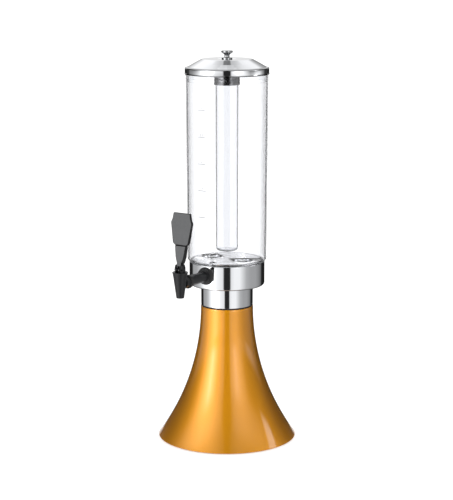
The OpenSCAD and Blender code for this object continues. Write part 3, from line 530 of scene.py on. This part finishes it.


# Bonnet and valve: a moulded plug closes the spout's top and carries the lever's pin in its slot. Inside, a
# steel stem with a silicone cup is pressed on the seat by a coil spring. In use the spring shortens as the lever
# lifts the stem; here it is wound at one length.
plastic.on(solids["bonnet"])
rubber.on(solids["bonnet_seal"])
dark_steel = Finish("blackened_steel", Metallic=0.5, Roughness=0.5, Specular_IOR_Level=0.2)
oxide = dark_steel.grain(400, 4)
dark_steel.set("Base Color", dark_steel.blend(oxide, (0.008, 0.008, 0.009, 1), (0.02, 0.02, 0.021, 1)))
dark_steel.set("Roughness", 0.45 + oxide * 0.2)
dark_steel.on(solids["lever_pin"], solids["crank_pin"], solids["valve_stem"])

coil_foot, coil_top = (corner.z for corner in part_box("valve_spring"))
wire_r, coil_r, coil_turns, wire_sides = 0.45 * mm, 4 * mm, 6, 14
spring = start_piece(bpy.ops.mesh.primitive_circle_add, vertices=wire_sides, radius=wire_r,
                     rotation=(math.pi / 2, 0, 0), location=(0, reach, coil_foot + wire_r), enter_editmode=True)
bpy.ops.transform.translate(value=(coil_r, 0, 0))
bpy.ops.object.mode_set(mode="OBJECT")
wind = spring.modifiers.new("wind", "SCREW")
wind.axis, wind.steps, wind.iterations = "Y", 36, coil_turns
wind.screw_offset = (coil_top - coil_foot - 2 * wire_r) / coil_turns
bpy.ops.object.modifier_apply(modifier="wind")
bpy.ops.object.mode_set(mode="EDIT")
bpy.ops.mesh.select_all(action="SELECT")
bpy.ops.mesh.fill_holes(sides=wire_sides)
finish_mesh(spring, "valve_spring_wound")
dress(spring, zinc, "valve", "zinc_steel", "valve_spring")
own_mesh(spring)


# Lever arm: a black satin moulding that hinges in the bonnet's slot. Its blade widens upwards, and its forked
# root goes round the valve's eye on two pins.
def lofted(name, sections, bevel, segments):
    """Draws a rectangle up through each (half width, half depth, height), and softens every edge."""
    half_w, half_d, level = sections[0]
    piece = start_piece(bpy.ops.mesh.primitive_plane_add, size=2 * mm, location=(0, 0, level * mm),
                        enter_editmode=True)
    bpy.ops.transform.resize(value=(half_w, half_d, 1))
    bpy.ops.mesh.select_mode(type="FACE")
    for w, d, z in sections[1:]:
        bpy.ops.mesh.extrude_region_move(TRANSFORM_OT_translate={"value": (0, 0, (z - level) * mm)})
        bpy.ops.transform.resize(value=(w / half_w, d / half_d, 1))
        half_w, half_d, level = w, d, z
    finish_mesh(piece, name)
    softening = piece.modifiers.new("soften", "BEVEL")
    softening.width, softening.segments = bevel * mm, segments
    softening.limit_method, softening.angle_limit = "ANGLE", math.radians(25)
    bpy.ops.object.modifier_apply(modifier="soften")
    piece.location = (0, blade_back * mm, 0)
    settle()
    return piece


def block(half_x, y0, y1, z0, z1):
    """A plain block for joining on or cutting away."""
    piece = start_piece(bpy.ops.mesh.primitive_cube_add, size=1,
                        scale=(2 * half_x * mm, (y1 - y0) * mm, (z1 - z0) * mm),
                        location=(0, (y0 + y1) / 2 * mm, (z0 + z1) / 2 * mm))
    settle()
    return piece


def barrel(radius, half_x, y):
    """A short round bar across the lever."""
    piece = turned("barrel", rounded([
        (0, -half_x, 0), (radius, -half_x, 0.3), (radius, half_x, 0.3), (0, half_x, 0)]), 64)
    pick(piece)
    piece.rotation_euler = (0, math.radians(90), 0)
    piece.location = (0, y * mm, 0)
    settle()
    return piece


pivot, closed_lean, facing = (0, -131 * mm, 289.7 * mm), math.radians(-3.5), 0.96


def hang_on_pivot(piece):
    """Leans a piece back at the pivot, and marks its faces towards the pourer, where the finish paints a lit
    grey.
    """
    pick(piece)
    piece.rotation_euler = (closed_lean, 0, 0)
    piece.location = pivot
    settle()
    bpy.ops.object.shade_smooth_by_angle(angle=math.radians(30))
    front = piece.data.attributes.new("front", "FLOAT", "FACE")
    for face in piece.data.polygons:
        front.data[face.index].value = 1.0 if face.normal.y < -facing else 0.0


arm_foot, arm_rise, blade_back = 8.0, 28.3, 6.6
arm = lofted("lever_arm_moulded", [
    (2.46, 5.65, arm_foot), (3.9, 5.5, arm_foot + 1.27), (5.33, 5.11, arm_foot + 4.53),
    (6.4, 4.74, arm_foot + 7.6), (7.38, 4.7, arm_foot + 10.75), (8.9, 4.0, arm_foot + 19.8),
    (10.25, 3.1, arm_foot + arm_rise)], 1.0, 3)
hub_half, hub_r, crank_r, crank_y, fork_half = 3.8, 2.9, 3.5, 5, 1.9
cut(arm, block(hub_half - 0.05, 1.0, 9.0, 0.0, 12.0), "UNION")
cut(arm, barrel(hub_r, hub_half, 0), "UNION")
cut(arm, barrel(crank_r, hub_half - 0.02, crank_y), "UNION")
cut(arm, block(hub_half - 0.1, 0.0, crank_y, -2.8, 2.7), "UNION")
cut(arm, block(fork_half, -5.0, 10.0, -5.0, 5.5))
hang_on_pivot(arm)
satin = Finish("satin_black", Roughness=0.3, Specular_IOR_Level=0.22)
satin_mould = satin.grain(260, 4)
# Faces towards the pourer get a lighter grey and all other faces near black: painted light on the front and
# painted shade on the sides of one black plastic.
painted_shade_sides = satin.blend(satin_mould, (0.004, 0.004, 0.0045, 1), (0.01, 0.01, 0.011, 1))
painted_lit_front = satin.blend(satin_mould * 0.6 + satin.grain(30, 3) * 0.4,
                         (0.085, 0.087, 0.09, 1), (0.125, 0.127, 0.13, 1))
satin.set("Base Color", satin.blend(satin.add("ShaderNodeAttribute", {"attribute_name": "front"}, out="Fac"),
                                    painted_shade_sides, painted_lit_front))
satin.set("Roughness", 0.24 + satin_mould * 0.12)
satin.bump(satin.grain(1700, 3), 0.1, 0.0001)
dress(arm, satin, "lever", "black_plastic", "lever_arm")


# Lever grip: a flat paddle with six corners, pushed on the arm's tang. Its edges are softened and its lower
# corners are cut off.
grip_foot = arm_foot + arm_rise
grip = lofted("lever_grip_moulded", [
    (10.25, 2.6, grip_foot), (12.2, 3.6, grip_foot + 1.95), (14.15, 3.5, grip_foot + 3.9),
    (19.3, 2.53, grip_foot + 34.2), (16.9, 2.41, grip_foot + 39.8), (15.2, 2.2, grip_foot + 49.2)], 1.1, 4)
tang_half_x, tang_half_y, tang_deep = 5.6, 1.3, 26.5
cut(grip, block(tang_half_x, blade_back - tang_half_y, blade_back + tang_half_y, grip_foot - 1,
                grip_foot + tang_deep))
hang_on_pivot(grip)
dress(grip, satin, "lever", "grey_plastic", "lever_grip")


# Lid: a spun chrome cover with a beaded skirt, a raised cone and a slightly dished top. A soft seal under it
# plugs the tank's rim.
skirt_r, skirt_foot, skirt_bead, lid_sheet, lid_hole_r = 64.9, 574.0, 0.4, 0.8, 2.7
skirt_top, cone_foot_r, cone_foot, cone_r, cone = 584.4, 55.9, 587.8, 50.0, 591.2
top_r, top, dish_edge_r, dish_r, dish, shade_line_span = 38.9, 597.2, 15.0, 8.2, 596.2, 23.6
lid = turned("lid_spun", closed([
    (skirt_r - lid_sheet, skirt_foot, 0.1), (skirt_r, skirt_foot, 0.2),
    (skirt_r + skirt_bead, skirt_foot + 0.6, 0.4), (skirt_r + skirt_bead, skirt_foot + 1.4, 0.4),
    (skirt_r, skirt_foot + 2.2, 0.3), (skirt_r, skirt_top, 2.2), (skirt_r - 4, skirt_top + 0.4, 0.8),
    (cone_foot_r, cone_foot, 1.5), (cone_r, cone, 12), (top_r, top, 2.0), (dish_edge_r, top - 0.1, 3),
    (dish_r, dish, 0.2), (lid_hole_r, dish, 0.1), (lid_hole_r, dish - lid_sheet, 0.1),
    (dish_r, dish - lid_sheet, 0.2), (top_r - 0.3, top - 1.1, 2.5),
    (cone_foot_r, cone_foot - lid_sheet, 1.5), (skirt_r - 4, skirt_top - 0.4, 0.5),
    (skirt_r - lid_sheet, skirt_top - lid_sheet, 0.5)], 8), sides=224)
lid_chrome = Finish("lid_plating", Metallic=1.0, Roughness=0.03)
breath = lid_chrome.grain(26, 5, rough=0.6)
# The plating is painted near black along the skirt's lower bead and grey around the skirt's top corner: painted
# shade lines.
painted_shade_lines = lid_chrome.add("ShaderNodeValToRGB", {"stops": [
    (0, 0.12), (0.04, 0.12), (0.08, 1), (0.38, 1), (0.41, 0.42), (0.46, 0.42), (0.49, 1), (1, 1)]}, {
    "Fac": (lid_chrome.height() - skirt_foot * mm) / (shade_line_span * mm)})
lid_plating = lid_chrome.blend(breath, (0.6, 0.61, 0.63, 1), (0.65, 0.66, 0.675, 1))
lid_chrome.set("Base Color", lid_chrome.blend(painted_shade_lines, (0.05, 0.05, 0.052, 1), lid_plating))
lid_chrome.set("Roughness", 0.025 + breath ** 3 * 0.12)
dress(lid, lid_chrome, "lid", "mirror_chrome", "lid_shell")

seal = Finish("clear_seal", Base_Color=(0.97, 0.975, 0.98, 1), Roughness=0.04, IOR=1.03,
              Transmission_Weight=1.0)
seal.set("Roughness", seal.grain(40, 3) ** 3 * 0.03)
seal.on(solids["lid_seal"])


# Lid knob: a small turned button with a flange, a thin waist and a flat head, held by a screw from below.
# Its chrome is coloured darker than the lid's.
knob_foot, knob_top, knob_flange_r, knob_waist_r, knob_head_r = 596.25, 610.0, 8.2, 3.9, 8.8
knob = turned("lid_knob_turned", rounded([
    (0, knob_foot, 0), (knob_flange_r, knob_foot, 0.3), (knob_flange_r, 598.9, 0.5),
    (knob_waist_r + 0.15, 599.65, 0.8), (knob_waist_r, 602.0, 1), (knob_waist_r + 0.25, 603.2, 1.2),
    (knob_head_r, knob_top - 3.1, 0.8), (knob_head_r, knob_top - 0.55, 0.5), (0.8 * knob_head_r, knob_top, 0.5),
    (0, knob_top, 0)], 6), 128)
dark_chrome = Finish("dark_plating", Metallic=1.0, Roughness=0.06)
wear = dark_chrome.grain(60, 4)
dark_chrome.set("Base Color", dark_chrome.blend(wear, (0.24, 0.245, 0.25, 1), (0.32, 0.325, 0.33, 1)))
dark_chrome.set("Roughness", 0.04 + wear * 0.06)
dress(knob, dark_chrome, "lid", "mirror_chrome", "lid_knob")
zinc.on(solids["knob_screw"])


# Ice cap: a turned metal cap under the lid, ringed with fine grooves, whose mouth grips the ice tube's seal.
# The knob's screw goes up through its stem.
cap_r, cap_foot, cap_mouth_r, cap_shoulder, cap_top, stem_r = 20.15, 557.7, 18.35, 580.7, 595.35, 11
first_ridge, ridge_pitch, ridge_count, ridge_deep = 559.4, 4.4, 5, 0.45
mouth_top, screw_head_r, screw_bore_r, screw_head_top = 571.7, 5.6, 2.55, 576.7
ridges = []
for ring in range(ridge_count):
    ridge = first_ridge + ridge_pitch * ring
    ridges += [(cap_r, ridge, 0), (cap_r, ridge + 1.6, 0.3), (cap_r - ridge_deep, ridge + 2.2, 0.2),
               (cap_r - ridge_deep, ridge + 3.6, 0.2)]
cap = turned("ice_cap_turned", closed([
    (cap_mouth_r, cap_foot, 0.3), (cap_r - 0.15, cap_foot, 0.3), (cap_r, cap_foot + 0.7, 0.2)] + ridges + [
    (cap_r - 0.75, cap_shoulder, 0.3), (stem_r, cap_shoulder, 0.5), (stem_r, cap_top, 0.2),
    (screw_bore_r, cap_top, 0.1), (screw_bore_r, screw_head_top, 0.1), (screw_head_r, screw_head_top, 0.1),
    (screw_head_r, mouth_top, 0.1), (cap_mouth_r, mouth_top, 0.2)], 3), 128)
cap_metal = Finish("grooved_cap", Metallic=1.0, Roughness=0.16)
half_pitch = ridge_pitch / 2 * mm
# The metal's colour goes lighter and darker by height at the grooves' pitch: painted shade in the grooves.
painted_groove_shade = cap_metal.add("ShaderNodeMath", {"operation": "PINGPONG"}, {
    0: cap_metal.height() - cap_foot * mm, 1: half_pitch}) / half_pitch
cap_metal.set("Base Color", cap_metal.blend(painted_groove_shade, (0.15, 0.15, 0.155, 1), (0.27, 0.27, 0.275, 1)))
cap_metal.set("Roughness", 0.17 + cap_metal.grain(300, 3) * 0.06)
dress(cap, cap_metal, "lid", "black_cap", "ice_cap")


# Ice tube: a clear test-tube with a rounded foot that hangs from the cap into the drink and holds ice.
# It pulls down out of the cap's seal.
tube_r, tube_wall, tube_foot, tube_top = 18, 2, 299.2, 569.65
tube = turned("ice_tube_moulded", rounded([
    (0, tube_foot, 0), (tube_r, tube_foot, 6), (tube_r, tube_top, 0.6), (tube_r - tube_wall, tube_top, 0.6),
    (tube_r - tube_wall, tube_foot + tube_wall, 4), (0, tube_foot + tube_wall, 0)], 8), 128)
tube_clear = Finish("clear_tube", Base_Color=(0.97, 0.975, 0.985, 1), Roughness=0.0, IOR=1.3,
                    Transmission_Weight=1.0)
tube_clear.set("Roughness", 0.004 + tube_clear.grain(14, 4) ** 4 * 0.03)
tube_clear.bump(tube_clear.grain(5, 2, (1, 1, 0.4)), 0.02, 0.0001)
dress(tube, tube_clear, "ice_tube", "clear_plastic", "ice_tube")


# Stage: a plain pale floor in a white room, and a dome of soft boxes that shows only as reflections, as in a
# product studio. The dome has a narrow dark gap in front, dark cloth low behind and a lit panel above it.
world = bpy.data.worlds.new("white_room")
bpy.context.scene.world = world
world.use_nodes = True
world.node_tree.nodes["Background"].inputs["Color"].default_value = (1, 1, 1, 1)
world.node_tree.nodes["Background"].inputs["Strength"].default_value = 1.15
world.cycles_visibility.glossy = False
view_turn, floor_size, tent_r = math.radians(34), 60, 6


class Lamp(Finish):
    """A lamp that only shows in reflections, drawn by its turn round the tower from the camera and its climb."""

    def __init__(self, name):
        super().__init__(name)
        self.tree.nodes.remove(self.shader)
        self.material.cycles.emission_sampling = "NONE"
        where = self.add("ShaderNodeSeparateXYZ", {}, {"Vector": self.add("ShaderNodeTexCoord", out="Object")})
        across, along, height = (Value(self.tree, socket) for socket in where.socket.node.outputs)
        ahead = across * math.sin(view_turn) - along * math.cos(view_turn)
        self.right = across * math.cos(view_turn) + along * math.sin(view_turn)
        self.turn = self.right.turn_from(ahead) * (180 / math.pi)
        self.away = (ahead * ahead + self.right * self.right) ** 0.5
        self.climb = height.turn_from(self.away) * (180 / math.pi)
        self.mirrored = self.add("ShaderNodeLightPath", out="Glossy Depth") > 0.5
        self.through = self.add("ShaderNodeLightPath", out="Transmission Depth") > 0.5

    def rise(self, value, start, end):
        """Goes smoothly from 0 at the start to 1 at the end."""
        return self.add("ShaderNodeMapRange", {"interpolation_type": "SMOOTHSTEP"}, {
            "Value": value, "From Min": start, "From Max": end})

    def round_view(self, stops, top=3.5):
        """Brightness, up to the top, by angle in degrees to the right of the camera."""
        stops = [((a + 180) / 360, v / top) for a, v in stops]
        return self.add("ShaderNodeValToRGB", {"stops": stops}, {"Fac": self.turn / 360 + 0.5}) * top

    def shine(self, glow, otherwise):
        """Shows the glow in reflections. Clear walls see a plain white back and a wider gap in front."""
        white_back = self.rise(self.turn.size(), 152, 158) * self.rise(self.climb, 12, 8) * self.through * 1.1
        wide_gap = self.rise(self.turn.size(), 33, 27) * self.rise(self.climb, 14, 10) * self.through * 0.95
        box = self.add("ShaderNodeEmission", {}, {
            "Strength": (glow + white_back) * (1 - wide_gap)}, out="Emission")
        self.feed(self.output.inputs["Surface"], self.add("ShaderNodeMixShader", {}, {
            0: self.mirrored, 1: otherwise, 2: box}))


pale = Lamp("pale_floor")
matt = pale.add("ShaderNodeBsdfDiffuse", {}, {"Color": (0.9, 0.9, 0.9, 1)}, out="BSDF")
own_light = pale.add("ShaderNodeEmission", {}, {"Strength": 0.22}, out="Emission")
table = pale.round_view([
    (-180, 0.8), (-173, 0.8), (-166, 0.02), (-130, 0.02), (-124, 0.5), (-104, 0.6), (-90, 0.85), (-80, 1.3),
    (-70, 1.7), (-60, 2.6), (-50, 3.4), (-42, 2.6), (-32, 1.5), (-12.5, 1.2), (-8.5, 0.03), (8.5, 0.03),
    (12.5, 1.2), (22, 1.4), (38, 1.4), (47, 1.1), (60, 0.68), (76, 0.54), (96, 0.52), (112, 0.38), (122, 0.25),
    (130, 0.02), (166, 0.02), (173, 0.8), (180, 0.8)])
beyond_foot = pale.rise(pale.away, 0.115, 0.16)
pale.shine(table * beyond_foot + (1 - beyond_foot) * 1.1,
           pale.add("ShaderNodeAddShader", {}, {0: matt, 1: own_light}, out="Shader"))
floor = start_piece(bpy.ops.mesh.primitive_plane_add, size=floor_size)
pale.on(floor)

# The boxes round the tower, in four rings that pass into each other as they climb.
dome = Lamp("soft_boxes")
lowest = dome.round_view([
    (-180, 0.03), (-128, 0.05), (-120, 0.3), (-107, 0.45), (-95, 0.8), (-83, 1.35), (-72, 1.8), (-53, 2.6),
    (-45, 1.8), (-36, 1.35), (-27, 1.12), (-19, 0.95), (-12, 0.9), (-8.5, 0.03), (8.5, 0.03), (12.5, 1.2),
    (22, 1.4), (35, 1.55), (48, 1.45), (57, 1.13), (66, 0.74), (76, 0.94), (85, 1.6), (98, 1.5), (110, 0.6),
    (124, 0.05), (180, 0.03)])
lower = dome.round_view([
    (-180, 0.02), (-130, 0.02), (-118, 0.05), (-98, 0.12), (-87, 0.5), (-76, 1.5), (-62, 4.0), (-53, 7.0),
    (-44, 4.0), (-32, 1.5), (-12.5, 1.2), (-8.5, 0.03), (8.5, 0.03), (12.5, 1.3), (22, 2.2), (29, 3.6),
    (38, 2.4), (46, 1.6), (54, 1.0), (64, 0.3), (76, 0.15), (122, 0.1), (130, 0.02), (180, 0.02)], 7)
upper = dome.round_view([
    (-180, 0.05), (-130, 0.1), (-100, 0.5), (-80, 1.4), (-60, 2.3), (-40, 2.0), (-20, 1.2), (-13, 0.7),
    (-9, 0.03), (9, 0.03), (13, 0.7), (22, 1.4), (40, 1.4), (60, 1.0), (80, 0.6), (130, 0.1), (180, 0.05)])
highest = dome.round_view([
    (-180, 0.3), (-120, 0.3), (-80, 0.8), (-60, 1.2), (-40, 1.1), (-20, 0.7), (-9, 0.4), (-5, 0.05), (5, 0.05),
    (9, 0.4), (25, 0.7), (50, 0.6), (80, 0.4), (180, 0.3)])
glow = lowest
for ring, start, end in ((lower, 2, 7), (upper, 20, 32), (highest, 36, 48)):
    share = dome.rise(dome.climb, start, end)
    glow = glow * (1 - share) + ring * share
side_strip = dome.rise(dome.turn, 84, 88) * dome.rise(dome.turn, 101, 97) * dome.rise(dome.climb, 20, 26)

# Behind, cloth and panel by climb, dimmer to the right, with a bright strip in the middle and a dark one above.
back = dome.add("ShaderNodeValToRGB", {"stops": [
    (0, 0), (0.03, 0), (0.06, 0.24), (0.16, 0.26), (0.27, 0.5), (0.4, 0.77), (0.52, 0.78), (0.62, 0.72),
    (0.7, 0.74), (0.76, 0.76), (1, 0.5)]}, {"Fac": dome.climb / 90}) * 2
back = back * (1 - dome.rise(dome.turn, 120, 140) * (dome.rise(dome.climb, 40, 26) * 0.36 + 0.1))
middle = dome.rise(dome.turn.size(), 173, 177) * dome.rise(dome.climb, 3.5, 5.5) * dome.rise(dome.climb, 30, 20)
back = back * (1 - middle) + middle * (0.88 + dome.rise(dome.climb, 11, 12.5) * 0.3)
back = back + dome.rise(dome.turn.size(), 166, 173) * dome.rise(dome.climb, 5, 3) * 0.8
dark_strip = dome.rise(dome.right.size(), 0.44, 0.26) * 0.42 + dome.rise(dome.right.size(), 1.6, 0.5) * 0.38
back = back * (1 - dark_strip * dome.rise(dome.climb, 53, 57) * dome.rise(dome.climb, 66, 64.6))
strip_end = dome.rise(dome.climb, 64.6, 66) * (1 - dome.rise(dome.climb, 66.5, 72) * 0.75)
back = back * (1 - dome.rise(dome.right.size(), 1.3, 0.2) * strip_end * 0.34)
behind = dome.rise(dome.turn.size(), 140, 152)
unseen = dome.add("ShaderNodeBsdfTransparent", {}, {"Color": (1, 1, 1, 1)}, out="BSDF")
dome.shine(glow * (1 - behind) + side_strip * 3.2 + back * behind, unseen)
tent = start_piece(bpy.ops.mesh.primitive_uv_sphere_add, segments=96, ring_count=48, radius=tent_r)
dome.on(tent)
tent.visible_camera = tent.visible_diffuse = tent.visible_shadow = False

# The camera, at the photograph's view.
stand_off, camera_height, camera_tilt = 2.450414, 0.776634, 0.192
bpy.ops.object.camera_add(
    location=(stand_off * math.sin(view_turn), -stand_off * math.cos(view_turn), camera_height),
    rotation=(math.pi / 2 - camera_tilt, 0, view_turn))
camera = bpy.context.object
camera.data.lens, camera.data.sensor_width = 114.785, 36
camera.data.shift_x, camera.data.shift_y = -0.001, -0.0017
camera.data.clip_end = 100
bpy.context.scene.camera = camera
bpy.context.scene.view_settings.view_transform = "Standard"
